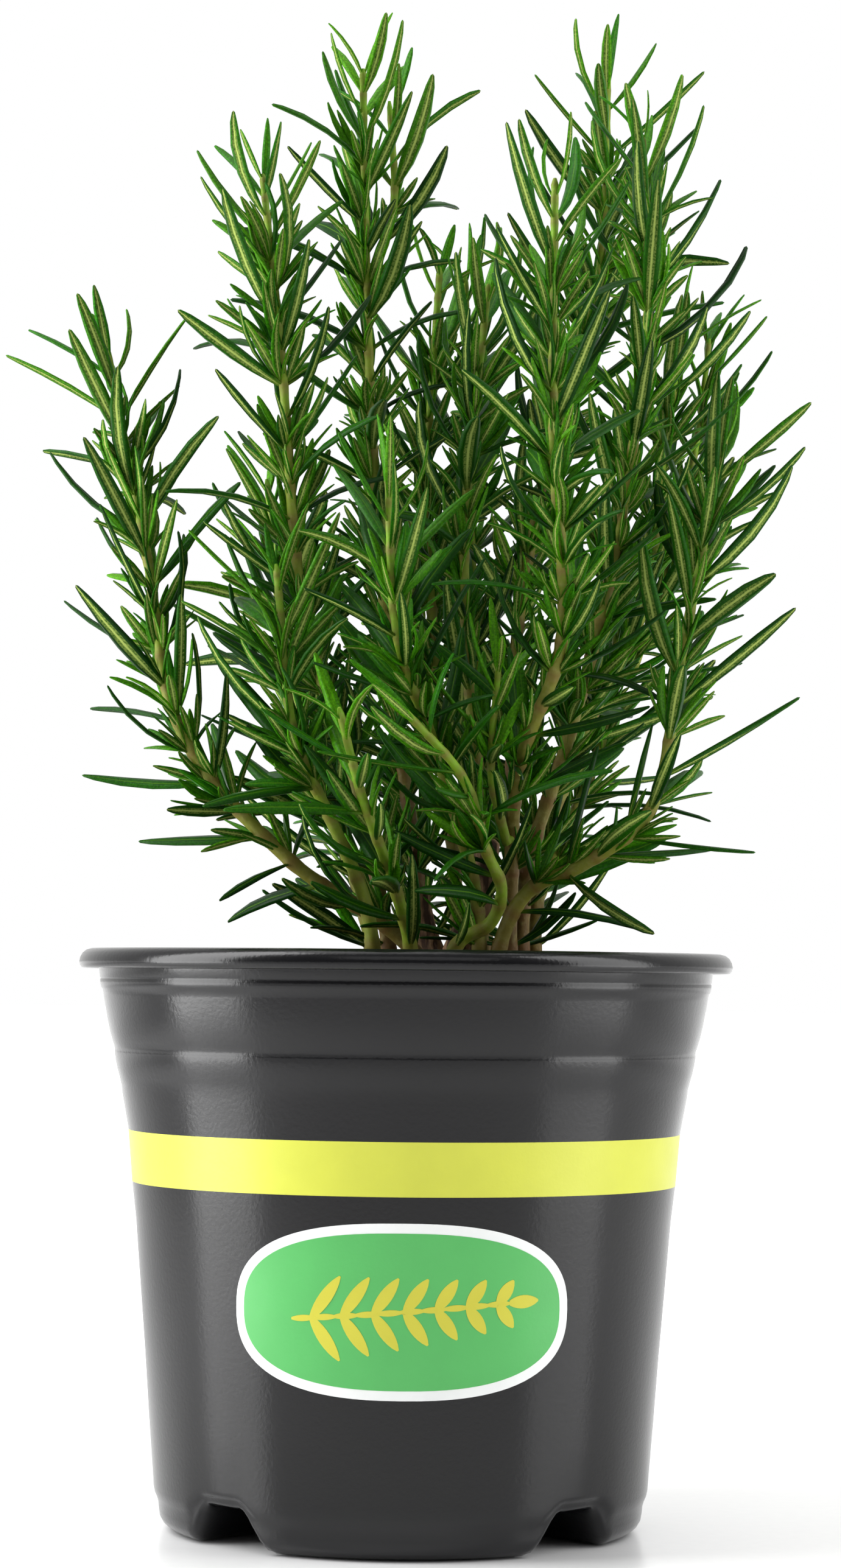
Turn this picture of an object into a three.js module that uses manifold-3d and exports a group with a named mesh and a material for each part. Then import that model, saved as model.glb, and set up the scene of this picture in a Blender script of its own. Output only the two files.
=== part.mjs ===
// A rosemary plant in a black nursery pot, as a three.js scene graph.
// Millimetres, +Z up. The pot stands on z = 0 and its axis is the Z axis.
import * as THREE from 'three'
import * as BufferGeometryUtils from 'three/addons/utils/BufferGeometryUtils.js'
import Module from 'manifold-3d'

// The pot.
const wall = 1
const rimHeight = 105
const rimRadius = 60
const shoulderRadius = 53.3
const shoulderHeight = 86.5
const taperTop = { radius: 51.8, height: 78.6 }
const taperFoot = { radius: 45.2, height: 8.9 }
const footRadius = 44
const channel = { count: 4, inner: 22, height: 7, wideHalf: 10, narrowHalf: 4 }
const drainHole = { radius: 3.5, offset: 33 }
const roundSteps = 32

// What the pot holds.
const gap = 0.3
const mixEdge = 94
const mixCrown = 95.5
const buriedTo = 84
const middleRadius = 30

// Stems and leaves.
const stemRadii = [1.5, 0.6]
const sideRadii = [0.9, 0.5]
const bareFoot = { rooted: 22, side: 5 }
const stemSides = 5
const trunkSides = 10
const ringsPerStretch = 3
const stepsPerRing = 8
const beadsPerLeaf = 12
const leafDepth = 0.9
const leafRoot = 0.4
const smallestEdge = 0.05
const beadMargin = 0.5
const bends = [-0.6, -0.25, 0.1, 0.4, 0.8]

// Each shoot's route runs from its foot to its tip. A side shoot starts beside the stem that bears it.
const shoots = {
  centre_tall: [[19, -4, 84], [19, -5, 115], [20, -16, 138], [27, -30, 160], [25, -38, 195], [25, -34, 242]],
  centre_low: [[12, -9, 84], [13, -10, 112], [5, -21, 141], [-2, -34, 160], [-4, -39, 188]],
  left_tall: [[0, 3, 84], [-4, 3, 110], [-9, -3, 134], [-19, -10, 165], [-24, -12, 214], [-28, -7, 248]],
  left_outer: [[6, -6, 84], [4, -7, 101], [-3, -8, 109], [-21, -13, 121], [-41, -15, 144], [-48, -10, 176],
    [-57, 2, 217]],
  right_tall: [[22, 3, 84], [22, 2, 119], [29, -3, 143], [37, -9, 176], [43, -11, 222], [42, -7, 256]],
  right_outer: [[16, -10, 84], [17, -10, 106], [22, -13, 116], [32, -19, 121], [43, -24, 130], [49, -21, 159],
    [58, -6, 202]],
  front_curl: [[8, -15, 84], [9, -16, 106], [15, -18, 110], [17, -22, 116], [14, -27, 123], [10, -34, 135],
    [-1, -42, 147]],
  front_short: [[1, -16, 84], [1, -18, 104], [-2, -26, 116], [-8, -36, 132], [-12, -42, 147]],
  left_low: [[-5, -15, 84], [-7, -16, 112], [-14, -20, 129], [-20, -26, 142], [-24, -23, 174]],
  inner_right: [[18, -12, 125], [15, -19, 137], [16, -27, 156]],
  top_left: [[4, 12, 84], [2, 15, 118], [-3, 20, 153], [-7, 22, 194], [-9, 18, 232], [-10, 10, 272]],
  top_left_twin: [[-7, 19, 236], [-4, 20, 248], [-5, 15, 267]],
  top_right: [[20, 12, 84], [20, 14, 118], [20, 23, 160], [24, 28, 189], [36, 29, 238], [37, 23, 275]],
  right_back: [[24, 15, 84], [25, 17, 118], [33, 23, 146], [45, 28, 172], [49, 32, 204], [53, 32, 229]],
  right_side: [[43, 24, 160], [51, 36, 184], [56, 40, 207], [58, 38, 226]],
  middle: [[13, 4, 84], [14, 4, 124], [11, 2, 157], [10, 0, 182], [14, 4, 230]],
  back_centre: [[10, 20, 84], [9, 22, 120], [5, 32, 160], [3, 36, 196], [5, 30, 238]],
  back_high: [[15, 24, 84], [15, 28, 120], [12, 43, 180], [10, 39, 238]],
  back_left: [[-4, 10, 84], [-8, 12, 114], [-21, 22, 150], [-28, 28, 196]],
  back_left_low: [[-4, 18, 84], [-8, 24, 112], [-20, 38, 146], [-28, 45, 184]],
  back_right_low: [[20, 20, 84], [24, 28, 112], [38, 42, 148], [42, 48, 186]],
  back_low: [[4, 24, 84], [2, 33, 112], [4, 48, 146], [2, 54, 176]],
}

// The cut-back trunk and the stub on it: route and radii from bottom to top.
const trunk = { route: [[7, 4, 84], [8, 3, 100], [13, -2, 114], [15, -3, 126]], radii: [3.6, 2.2] }
const stub = { route: [[8, 3, 99], [4, 5, 108], [2, 6, 117]], radii: [2.2, 1.8] }

const colours = {
  plastic: 0x2b2b2d,
  mix: 0x2f2219,
  bark: 0x6d4f36,
  leaf: 0x2f7a2c,
}

const wasm = await Module()
wasm.setup()

// Turns a closed three.js geometry into a manifold solid.
function toSolid(geometry) {
  const bare = new THREE.BufferGeometry()
  bare.setAttribute('position', geometry.getAttribute('position'))
  bare.setIndex(geometry.getIndex())
  const merged = BufferGeometryUtils.mergeVertices(bare, 1e-4)
  return new wasm.Manifold(new wasm.Mesh({
    numProp: 3,
    vertProperties: new Float32Array(merged.getAttribute('position').array),
    triVerts: new Uint32Array(merged.getIndex().array),
  }))
}

function toGeometry(solid) {
  const mesh = solid.getMesh()
  const geometry = new THREE.BufferGeometry()
  geometry.setAttribute('position', new THREE.BufferAttribute(new Float32Array(mesh.vertProperties), 3))
  geometry.setIndex(new THREE.BufferAttribute(new Uint32Array(mesh.triVerts), 1))
  return geometry
}

function named(name, solid, colour, roughness) {
  const material = new THREE.MeshStandardMaterial({ color: colour, roughness, metalness: 0 })
  const mesh = new THREE.Mesh(toGeometry(solid), material)
  mesh.name = name
  return mesh
}

// Revolves an outline of [radius, height] pairs about the Z axis.
function turned(outline) {
  const points = outline.map(([radius, height]) => new THREE.Vector2(radius, height))
  return toSolid(new THREE.LatheGeometry(points, roundSteps).rotateX(Math.PI / 2))
}

// A closed solid from a start point, equal rings of points and an end point.
function skinned(start, rings, end) {
  const sides = rings[0].length
  const vertices = [start, ...rings.flat(), end]
  const last = vertices.length - 1
  const index = []
  for (let side = 0; side < sides; side += 1) {
    const next = (side + 1) % sides
    index.push(0, 1 + next, 1 + side)
    for (let ring = 0; ring < rings.length - 1; ring += 1) {
      const low = 1 + ring * sides
      const high = low + sides
      index.push(low + side, low + next, high + next)
      index.push(low + side, high + next, high + side)
    }
    index.push(last - sides + side, last - sides + next, last)
  }
  const geometry = new THREE.BufferGeometry().setFromPoints(vertices)
  return toSolid(geometry.setIndex(index))
}

// ---- pot

// One drainage channel under the base, grown outwards by a margin on its top and sides.
function channels(margin, reach) {
  const wide = channel.wideHalf + margin
  const narrow = channel.narrowHalf + margin
  const top = channel.height + margin
  const ease = (wide - narrow) / 2
  const shape = new THREE.Shape()
  shape.moveTo(-wide, -1)
  shape.lineTo(-wide, 0)
  shape.bezierCurveTo(-wide + ease, 0, -narrow - ease, top, -narrow, top)
  shape.lineTo(narrow, top)
  shape.bezierCurveTo(narrow + ease, top, wide - ease, 0, wide, 0)
  shape.lineTo(wide, -1)
  const start = channel.inner - margin
  const settings = { depth: reach - start, bevelEnabled: false, curveSegments: 4 }
  const cutter = toSolid(new THREE.ExtrudeGeometry(shape, settings)
    .translate(0, 0, start)
    .rotateX(Math.PI / 2))
  const copies = []
  for (let turn = 0; turn < channel.count; turn += 1) {
    copies.push(cutter.rotate([0, 0, 45 + 360 * turn / channel.count]))
  }
  return wasm.Manifold.union(copies)
}

function pot() {
  const outer = turned([
    [0, 0], [41, 0], [footRadius - 0.8, 0.7], [footRadius, 2.2],
    [footRadius + 0.4, 5.3], [taperFoot.radius, taperFoot.height],
    [taperTop.radius, taperTop.height], [52.8, 83.1], [shoulderRadius, shoulderHeight - 0.6],
    [shoulderRadius, shoulderHeight], [54.2, 89.8], [55.5, 96.4], [55.7, 98], [56.3, 98.6], [56.4, 101],
    [56.7, 102.6], [58.5, 103], [58.8, 101.5], [59.8, 101.5], [rimRadius, 102.8], [59.4, 104.2],
    [57.8, rimHeight], [0, rimHeight],
  ])
  const inner = turned([
    [0, wall], [40.6, wall], [42.4, 1.6],
    [footRadius - wall, 3], [footRadius + 0.4 - wall, 5.6], [taperFoot.radius - wall, taperFoot.height + 0.2],
    [taperTop.radius - wall, taperTop.height], [51.8, 83.1], [shoulderRadius - wall, shoulderHeight],
    [53.2, 89.8], [54.5, 96.4], [55.2, 99], [55.4, 103.6], [56.2, rimHeight], [56.2, rimHeight + 1],
    [0, rimHeight + 1],
  ])
  const drain = toSolid(new THREE.CylinderGeometry(drainHole.radius, drainHole.radius, 20, 16)
    .rotateX(Math.PI / 2)
    .translate(drainHole.offset, 0, 0))
  const drains = []
  for (let turn = 0; turn < channel.count; turn += 1) {
    drains.push(drain.rotate([0, 0, 45 + 360 * turn / channel.count]))
  }
  const shell = outer.subtract(channels(0, 60)).subtract(inner.subtract(channels(wall, 60)))
  return shell.subtract(wasm.Manifold.union(drains))
}

// ---- stems

// Points along a smooth route with their distances from its foot. Steps are short where the route turns.
function pathOf(route) {
  const curve = new THREE.CatmullRomCurve3(route.map((point) => new THREE.Vector3(...point)))
  const points = curve.getPoints((route.length - 1) * ringsPerStretch * stepsPerRing)
  const distances = [0]
  for (let step = 1; step < points.length; step += 1) {
    distances.push(distances[step - 1] + points[step].distanceTo(points[step - 1]))
  }
  return { points, distances, length: distances.at(-1) }
}

function isRooted(path) {
  return path.points[0].z <= buriedTo
}

function radiiOf(path) {
  return isRooted(path) ? stemRadii : sideRadii
}

// The place and the direction at a distance along a path.
function placeOn(path, distance) {
  let step = 1
  while (step < path.points.length - 1 && path.distances[step] < distance) step += 1
  const before = path.points[step - 1]
  const after = path.points[step]
  const share = (distance - path.distances[step - 1]) / (path.distances[step] - path.distances[step - 1])
  return {
    at: before.clone().lerp(after, share),
    along: after.clone().sub(before).normalize(),
  }
}

// Two directions square to a stem's own direction and to each other.
function acrossOf(along) {
  const right = new THREE.Vector3(0, 1, 0).cross(along).normalize()
  return [right, along.clone().cross(right)]
}

function ringAt(place, radius, sides) {
  const [right, back] = acrossOf(place.along)
  const ring = []
  for (let side = 0; side < sides; side += 1) {
    const angle = 2 * Math.PI * side / sides
    ring.push(place.at.clone()
      .addScaledVector(right, radius * Math.cos(angle))
      .addScaledVector(back, radius * Math.sin(angle)))
  }
  return ring
}

function stemSolid(path, radii, sides) {
  const rings = []
  for (let step = 0; step < path.points.length; step += stepsPerRing) {
    const distance = path.distances[step]
    const radius = THREE.MathUtils.lerp(radii[0], radii[1], distance / path.length)
    rings.push(ringAt(placeOn(path, distance), radius, sides))
  }
  return skinned(path.points[0], rings, path.points.at(-1))
}

// ---- leaves

// Numbers from 0 to 1 that look random and are the same every time for a given seed.
function randomFrom(seed) {
  let state = seed
  return () => {
    state = (state * 16807) % 2147483647
    return state / 2147483647
  }
}

// Reads a curve given as [distance, value] pairs.
function graded(table, distance) {
  let value = table[0][1]
  for (let entry = 1; entry < table.length; entry += 1) {
    const [start, low] = table[entry - 1]
    const [end, high] = table[entry]
    const share = Math.min(1, Math.max(0, (distance - start) / (end - start)))
    value += share * (high - low)
  }
  return value
}

// Leaf habit by distance below the shoot's tip.
const spacingBelowTip = [[0, 2.4], [10, 4.2], [30, 5.8], [120, 7]]
const lengthBelowTip = [[0, 10], [6, 18], [16, 25], [45, 27], [100, 24], [160, 18]]
const spreadBelowTip = [[0, 0.25], [6, 0.65], [15, 0.85], [70, 0.95], [140, 1.15]]

// A point on a leaf's midline, which is an arc that starts along the leaf and turns to its upper side.
function midline(leaf, share) {
  const turn = leaf.bend * share
  const ahead = leaf.length * Math.sin(turn) / leaf.bend
  const up = leaf.length * (1 - Math.cos(turn)) / leaf.bend
  return leaf.base.clone().addScaledVector(leaf.ahead, ahead).addScaledVector(leaf.up, up)
}

function halfWidth(leaf, share) {
  return 0.5 * leaf.width * Math.min(1, 0.35 + 1.6 * share) * Math.min(1, 2.4 * (1 - share) + 0.1)
}

// Beads that follow a leaf. Its first beads count as part of the stem that bears it.
function leafBeads(leaf, name) {
  const beads = []
  for (let bead = 1; bead <= beadsPerLeaf; bead += 1) {
    const share = bead / beadsPerLeaf
    beads.push({ at: midline(leaf, share), radius: halfWidth(leaf, share), stem: bead <= 2 ? name : '' })
  }
  return beads
}

// Beads that follow a stem. Leaves of that stem ignore them.
function stemBeads(name, path, radii) {
  const beads = []
  for (let distance = 0; distance < path.length; distance += 1.5) {
    const radius = THREE.MathUtils.lerp(radii[0], radii[1], distance / path.length)
    beads.push({ at: placeOn(path, distance).at, radius, stem: name })
  }
  return beads
}

// Leaves stay above the mix, and above the rim wherever they reach out from the middle.
function clearOfPot(beads) {
  return beads.every(({ at }) => at.z > 2.5 + (Math.hypot(at.x, at.y) > middleRadius ? rimHeight : mixCrown))
}

function clearOfBeads(name, beads, placed) {
  return beads.every((bead) => placed.every((other) => {
    const room = bead.radius + other.radius + beadMargin
    return other.stem === name || bead.at.distanceToSquared(other.at) > room * room
  }))
}

function aimedLeaf(place, belowTip, azimuth, random) {
  const [right, back] = acrossOf(place.along)
  const turn = azimuth + 0.5 * (random() - 0.5)
  const spread = graded(spreadBelowTip, belowTip) * (0.8 + 0.4 * random())
  const outward = right.multiplyScalar(Math.cos(turn)).addScaledVector(back, Math.sin(turn))
  const ahead = place.along.clone().multiplyScalar(Math.cos(spread)).addScaledVector(outward, Math.sin(spread))
  const up = place.along.clone().multiplyScalar(Math.sin(spread)).addScaledVector(outward, -Math.cos(spread))
  const length = graded(lengthBelowTip, belowTip) * (0.82 + 0.3 * random())
  const bend = bends[Math.floor(random() * bends.length)]
  up.applyAxisAngle(ahead, 1.1 * (random() - 0.5))
  return { base: place.at.clone(), ahead, up, length, bend, width: 0.4 + 0.12 * length }
}

// Pairs of opposite leaves, each pair a quarter turn on from the last, aimed again where they would touch.
function grownLeaves(name, path, bare, seed, placed) {
  const random = randomFrom(seed)
  const leaves = []
  let distance = bare
  let azimuth = Math.PI * random()
  while (distance < path.length - 0.8) {
    const place = placeOn(path, distance)
    const belowTip = path.length - distance
    for (const side of [0, Math.PI]) {
      for (let attempt = 0; attempt < 6; attempt += 1) {
        const leaf = aimedLeaf(place, belowTip, azimuth + side, random)
        const beads = leafBeads(leaf, name)
        if (clearOfPot(beads) && clearOfBeads(name, beads, placed)) {
          leaves.push(leaf)
          placed.push(...beads)
          break
        }
      }
    }
    azimuth += Math.PI / 2 + 0.3 * (random() - 0.5)
    distance += graded(spacingBelowTip, belowTip)
  }
  return leaves
}

// A long flat leaf: it starts just behind the stem's middle, is widest half way and ends in a point.
function leafSolid(leaf) {
  const side = leaf.ahead.clone().cross(leaf.up)
  const centre = midline(leaf, 0.5)
  const ring = [
    centre.clone().addScaledVector(side, 0.5 * leaf.width),
    centre.clone().addScaledVector(leaf.up, -leafDepth),
    centre.clone().addScaledVector(side, -0.5 * leaf.width),
  ]
  return skinned(leaf.base.clone().addScaledVector(leaf.ahead, -leafRoot), [ring], midline(leaf, 1))
}

// ---- assembly

const plant = new THREE.Group()
const paths = Object.fromEntries(Object.entries(shoots).map(([name, route]) => [name, pathOf(route)]))
const trunkPath = pathOf(trunk.route)
const stubPath = pathOf(stub.route)
const placed = [
  ...stemBeads('trunk', trunkPath, trunk.radii),
  ...stemBeads('stub', stubPath, stub.radii),
  ...Object.entries(paths).flatMap(([name, path]) => stemBeads(name, path, radiiOf(path))),
]

plant.add(named('pot', pot(), colours.plastic, 0.4))

const rooted = Object.values(paths).filter(isRooted)
const sockets = rooted.map((path) => stemSolid(path, stemRadii.map((radius) => radius + gap), stemSides))
sockets.push(stemSolid(trunkPath, trunk.radii.map((radius) => radius + gap), trunkSides))
const mix = turned([
  [0, wall + gap], [40.4, wall + gap], [42, 1.9], [footRadius - wall - gap, 3.2], [footRadius + 0.4 - wall - gap, 5.7],
  [taperFoot.radius - wall - gap, taperFoot.height + 0.3], [taperTop.radius - wall - gap, taperTop.height],
  [51.5, 83.1], [shoulderRadius - wall - gap, shoulderHeight], [53.7, mixEdge - 0.8], [53, mixEdge],
  [30, mixEdge + 1], [0, mixCrown],
])
const bedding = mix.subtract(channels(wall + gap, 60)).subtract(wasm.Manifold.union(sockets))
plant.add(named('potting_mix', bedding, colours.mix, 0.95))

const crown = stemSolid(trunkPath, trunk.radii, trunkSides).add(stemSolid(stubPath, stub.radii, trunkSides))
plant.add(named('woody_crown', crown, colours.bark, 0.85))

Object.entries(paths).forEach(([name, path], order) => {
  const bare = isRooted(path) ? bareFoot.rooted : bareFoot.side
  const leaves = grownLeaves(name, path, bare, 7919 * (order + 1), placed)
  const stem = stemSolid(path, radiiOf(path), stemSides)
  const shoot = wasm.Manifold.union([stem, ...leaves.map(leafSolid)]).simplify(smallestEdge)
  plant.add(named(`shoot_${name}`, shoot, colours.leaf, 0.55))
})

export default plant
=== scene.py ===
import math

import bmesh
import bpy
import numpy as np
from mathutils import Matrix, Vector, noise


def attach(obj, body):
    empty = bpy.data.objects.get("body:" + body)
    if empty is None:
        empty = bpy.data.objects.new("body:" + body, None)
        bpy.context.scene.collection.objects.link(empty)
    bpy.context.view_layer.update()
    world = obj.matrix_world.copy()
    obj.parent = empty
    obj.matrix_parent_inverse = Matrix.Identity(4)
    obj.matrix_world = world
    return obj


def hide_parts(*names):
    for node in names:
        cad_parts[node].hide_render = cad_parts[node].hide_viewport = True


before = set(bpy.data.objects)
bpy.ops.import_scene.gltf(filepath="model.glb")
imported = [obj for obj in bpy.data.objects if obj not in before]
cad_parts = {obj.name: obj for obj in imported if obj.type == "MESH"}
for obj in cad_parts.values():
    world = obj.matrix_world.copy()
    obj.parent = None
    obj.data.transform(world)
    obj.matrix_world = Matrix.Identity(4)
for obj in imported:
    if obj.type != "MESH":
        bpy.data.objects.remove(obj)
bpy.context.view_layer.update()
mm = 0.001
print("frame: CAD nodes", len(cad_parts))


def placed(name, data):  # a new object in the scene
    item = bpy.data.objects.new(name, data)
    bpy.context.collection.objects.link(item)
    return item


camera = {
    "place": (2.3, -700.0, 99.9),  # millimetres, just below the rim's height
    "pitch": 2.95,
    "roll": 0.6,
    "lens": 87.07,
}


def setCamera():
    data = bpy.data.cameras.new("camera")
    data.lens = camera["lens"]
    data.sensor_width = 36
    data.clip_start = 0.05
    data.clip_end = 30
    item = placed("camera", data)
    lookUp = Matrix.Rotation(math.radians(90 + camera["pitch"]), 4, "X")
    lean = Matrix.Rotation(math.radians(camera["roll"]), 4, "Z")
    item.matrix_world = Matrix.Translation(Vector(camera["place"]) * mm) @ lookUp @ lean
    bpy.context.scene.camera = item


setCamera()
print("camera set")


class Wire:  # a node's output; arithmetic on it adds Math and Vector Math nodes
    def __init__(self, board, socket):
        self.board = board
        self.socket = socket

    def math(self, operation, first, second=0.0):
        vectors = [getattr(value, "isVector", False) for value in (first, second)]
        if not any(vectors):
            settings = {"operation": operation}
            return self.board.add("ShaderNodeMath", settings, {0: first, 1: second})
        if all(vectors):
            return self.board.add("ShaderNodeVectorMath", {"operation": operation}, {0: first, 1: second})
        vector, number = (first, second) if vectors[0] else (second, first)
        return self.board.add("ShaderNodeVectorMath", {"operation": "SCALE"}, {0: vector, 3: number})

    @property
    def isVector(self):
        return self.socket.type == "VECTOR"

    def __add__(self, other):
        return self.math("ADD", self, other)

    def __radd__(self, other):
        return self.math("ADD", other, self)

    def __sub__(self, other):
        return self.math("SUBTRACT", self, other)

    def __rsub__(self, other):
        return self.math("SUBTRACT", other, self)

    def __mul__(self, other):
        return self.math("MULTIPLY", self, other)

    def __truediv__(self, other):
        return self.math("DIVIDE", self, other)

    def __abs__(self):
        return self.math("ABSOLUTE", self)

    def sine(self):
        return self.math("SINE", self)

    def cosine(self):
        return self.math("COSINE", self)


class Board:  # the nodes of one material or geometry tree
    def __init__(self, tree):
        self.tree = tree
        tree.nodes.clear()

    def add(self, kind, settings=None, inputs=None, output=0):
        node = self.tree.nodes.new(kind)
        for name, value in (settings or {}).items():
            if name == "stops":
                self.setStops(node.color_ramp, value)
            else:
                setattr(node, name, value)
        for name, value in (inputs or {}).items():
            if isinstance(value, Wire):
                self.tree.links.new(value.socket, node.inputs[name])
            else:
                node.inputs[name].default_value = value
        return Wire(self, node.outputs[output]) if node.outputs else None

    def setStops(self, ramp, stops):
        while len(ramp.elements) < len(stops):
            ramp.elements.new(0.5)
        for element, (place, colour) in zip(ramp.elements, stops):
            element.position = place
            element.color = colour

    def mix(self, share, first, second):
        return self.add("ShaderNodeMix", {"data_type": "RGBA"}, {0: share, 6: first, 7: second}, 2)

    def band(self, value, low, high):  # 0 at low, 1 at high, smooth between
        settings = {"interpolation_type": "SMOOTHSTEP"}
        return self.add("ShaderNodeMapRange", settings, {0: value, 1: low, 2: high, 3: 0.0, 4: 1.0})

    def place(self):
        return self.add("ShaderNodeTexCoord", output=3)

    def value(self, name):  # a number kept on the mesh under this name
        return self.add("ShaderNodeAttribute", {"attribute_name": name}, output=2)

    def noise(self, scale, detail=2.0, vector=None):
        inputs = {"Vector": vector or self.place(), "Scale": scale, "Detail": detail}
        return self.add("ShaderNodeTexNoise", None, inputs)

    def bump(self, height, depth, strength=1.0):
        inputs = {"Height": height, "Distance": depth, "Strength": strength}
        return self.add("ShaderNodeBump", None, inputs)


def finish(name, describe):  # a material from a function that gives the shader's sockets
    material = bpy.data.materials.new(name)
    material.use_nodes = True
    board = Board(material.node_tree)
    shader = board.add("ShaderNodeBsdfPrincipled", None, describe(board))
    board.add("ShaderNodeOutputMaterial", None, {"Surface": shader})
    return material


def rgb(red, green, blue):  # screen colour from 0 to 255, as the shader's linear colour
    return tuple(((value / 255 + 0.055) / 1.055) ** 2.4 for value in (red, green, blue)) + (1.0,)


studio = {
    "surround": (1.0, 1.0, 0.99),
    "frontGlow": 0.1,
    "backGlow": 1.0,
    "floorSize": 24.0,  # metres
    "floorGlow": 0.7,  # far from the plant, so that the floor fades into the background
    "glowFrom": 0.25,
    "glowFull": 1.1,
    "whiteFrom": 0.09,  # as the camera sees the floor
    "whiteFull": 0.36,
    "whiteGlow": (1.5, 1.5, 1.5, 1.0),
    "lamps": {  # place, the height it faces, size and power of each soft lamp
        "stripLeft": ((-0.33, -0.08, 0.4), 0.36, (0.22, 0.8), 4.2),
        "stripRight": ((0.44, -0.14, 0.4), 0.36, (0.28, 0.8), 2.8),
        "frontTop": ((0.1, -1.3, 1.25), 0.12, (1.5, 0.8), 3.1),
        "overhead": ((-0.1, 0.2, 1.7), 0.12, (1.3, 1.0), 6.1),
    },
}


def lampAt(name, place, faced, size, power):
    data = bpy.data.lights.new(name, "AREA")
    data.shape = "RECTANGLE"
    data.size, data.size_y = size
    data.energy = power
    item = placed(name, data)
    item.location = place
    item.rotation_euler = (Vector((0, 0, faced)) - Vector(place)).to_track_quat("-Z", "Y").to_euler()
    item.visible_camera = False


def makeWorld():
    world = bpy.data.worlds.new("studio")
    bpy.context.scene.world = world
    world.use_nodes = True
    board = Board(world.node_tree)
    toward = board.add("ShaderNodeSeparateXYZ", None, {0: board.add("ShaderNodeTexCoord")}, 1)
    glow = board.band(toward, -1.0, 1.0) * (studio["backGlow"] - studio["frontGlow"]) + studio["frontGlow"]
    lit = board.add("ShaderNodeBackground", None, {0: (*studio["surround"], 1), 1: glow})
    seen = board.add("ShaderNodeBackground", None, {0: (1, 1, 1, 1)})
    isCamera = board.add("ShaderNodeLightPath")
    mixed = board.add("ShaderNodeMixShader", None, {0: isCamera, 1: lit, 2: seen})
    board.add("ShaderNodeOutputWorld", None, {0: mixed})


def floorPaper(board):
    away = board.add("ShaderNodeVectorMath", {"operation": "LENGTH"}, {0: board.place()}, 1)
    glow = board.band(away, studio["glowFrom"], studio["glowFull"])
    white = board.band(away, studio["whiteFrom"], studio["whiteFull"])
    isCamera = board.add("ShaderNodeLightPath")
    lit = board.mix(glow, (0, 0, 0, 1), (1, 1, 1, 1))
    seen = board.mix(white, (0, 0, 0, 1), studio["whiteGlow"])
    return {
        "Base Color": board.mix(board.noise(400), rgb(248, 248, 249), rgb(253, 253, 253)),
        "Roughness": 0.22,
        "Emission Color": board.mix(isCamera, lit, seen),
        "Emission Strength": studio["floorGlow"],
    }


def makeFloor():
    half = studio["floorSize"] / 2
    corners = [(-half, -half), (half, -half), (half, half), (-half, half)]
    mesh = bpy.data.meshes.new("floor")
    mesh.from_pydata([(x, y, -0.0002) for x, y in corners], [], [(0, 1, 2, 3)])
    floor = placed("floor", mesh)
    mesh.materials.append(finish("floorPaper", floorPaper))


def makeStudio():
    makeWorld()
    makeFloor()
    for name, settings in studio["lamps"].items():
        lampAt(name, *settings)
    bpy.context.scene.view_settings.view_transform = "Standard"


makeStudio()
print("studio: lamps", len(studio["lamps"]))


def potPlastic(board):
    grain = board.noise(1400, 3)
    cloud = board.noise(45, 3)
    return {
        "Base Color": board.mix(cloud, rgb(9, 9, 11), rgb(15, 15, 17)),
        "Roughness": 0.15 + cloud * 0.08,
        "Specular IOR Level": 0.36,
        "Normal": board.bump(grain, 0.00006, 0.5),
    }


def printedInk(colour):
    deeper = tuple(0.9 * value for value in colour[:3]) + (1.0,)

    def describe(board):
        cloud = board.noise(160, 3)
        grain = board.noise(1400, 3)
        return {
            "Base Color": board.mix(cloud, colour, deeper),
            "Roughness": 0.3 + cloud * 0.12,
            "Normal": board.bump(grain, 0.00005, 0.4),
        }
    return describe


def pottingMix(board):
    crumbs = board.noise(420, 6)
    patch = board.noise(60, 3)
    dark = board.mix(crumbs, rgb(30, 22, 16), rgb(84, 62, 44))
    return {
        "Base Color": board.mix(patch * 0.6, dark, rgb(58, 42, 30)),
        "Roughness": 0.85 + crumbs * 0.1,
        "Normal": board.bump(crumbs, 0.0009),
    }


def looseBits(first, second):
    def describe(board):
        grain = board.noise(900, 4)
        return {
            "Base Color": board.mix(grain, first, second),
            "Roughness": 0.8 + grain * 0.15,
            "Normal": board.bump(grain, 0.0004),
        }
    return describe


def oldBark(board):
    stretched = board.add("ShaderNodeMapping", None, {"Vector": board.place(), "Scale": (1.0, 1.0, 0.18)})
    strips = board.noise(900, 5, stretched)
    return {
        "Base Color": board.mix(board.band(strips, 0.42, 0.62), rgb(62, 40, 26), rgb(142, 112, 82)),
        "Roughness": 0.8 + strips * 0.15,
        "Normal": board.bump(strips, 0.0007),
    }


def stemSkin(board):
    grain = board.noise(700, 4)
    patch = board.noise(90, 3)
    green = board.add("ShaderNodeValToRGB", {"stops": [
        (0.0, rgb(110, 156, 22)),
        (0.35, rgb(118, 140, 32)),
        (0.7, rgb(120, 120, 42)),
        (1.0, rgb(94, 68, 34)),
    ]}, {0: board.value("age") + (patch - 0.5) * 0.35})
    worn = board.mix(board.band(grain, 0.45, 0.75) * 0.5, green, rgb(140, 136, 78))
    return {
        "Base Color": board.mix(board.value("knot") * 0.55, worn, rgb(104, 62, 38)),
        "Roughness": 0.5 + grain * 0.2,
        "Specular IOR Level": 0.3,
        "Normal": board.bump(grain, 0.00025),
    }


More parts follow.
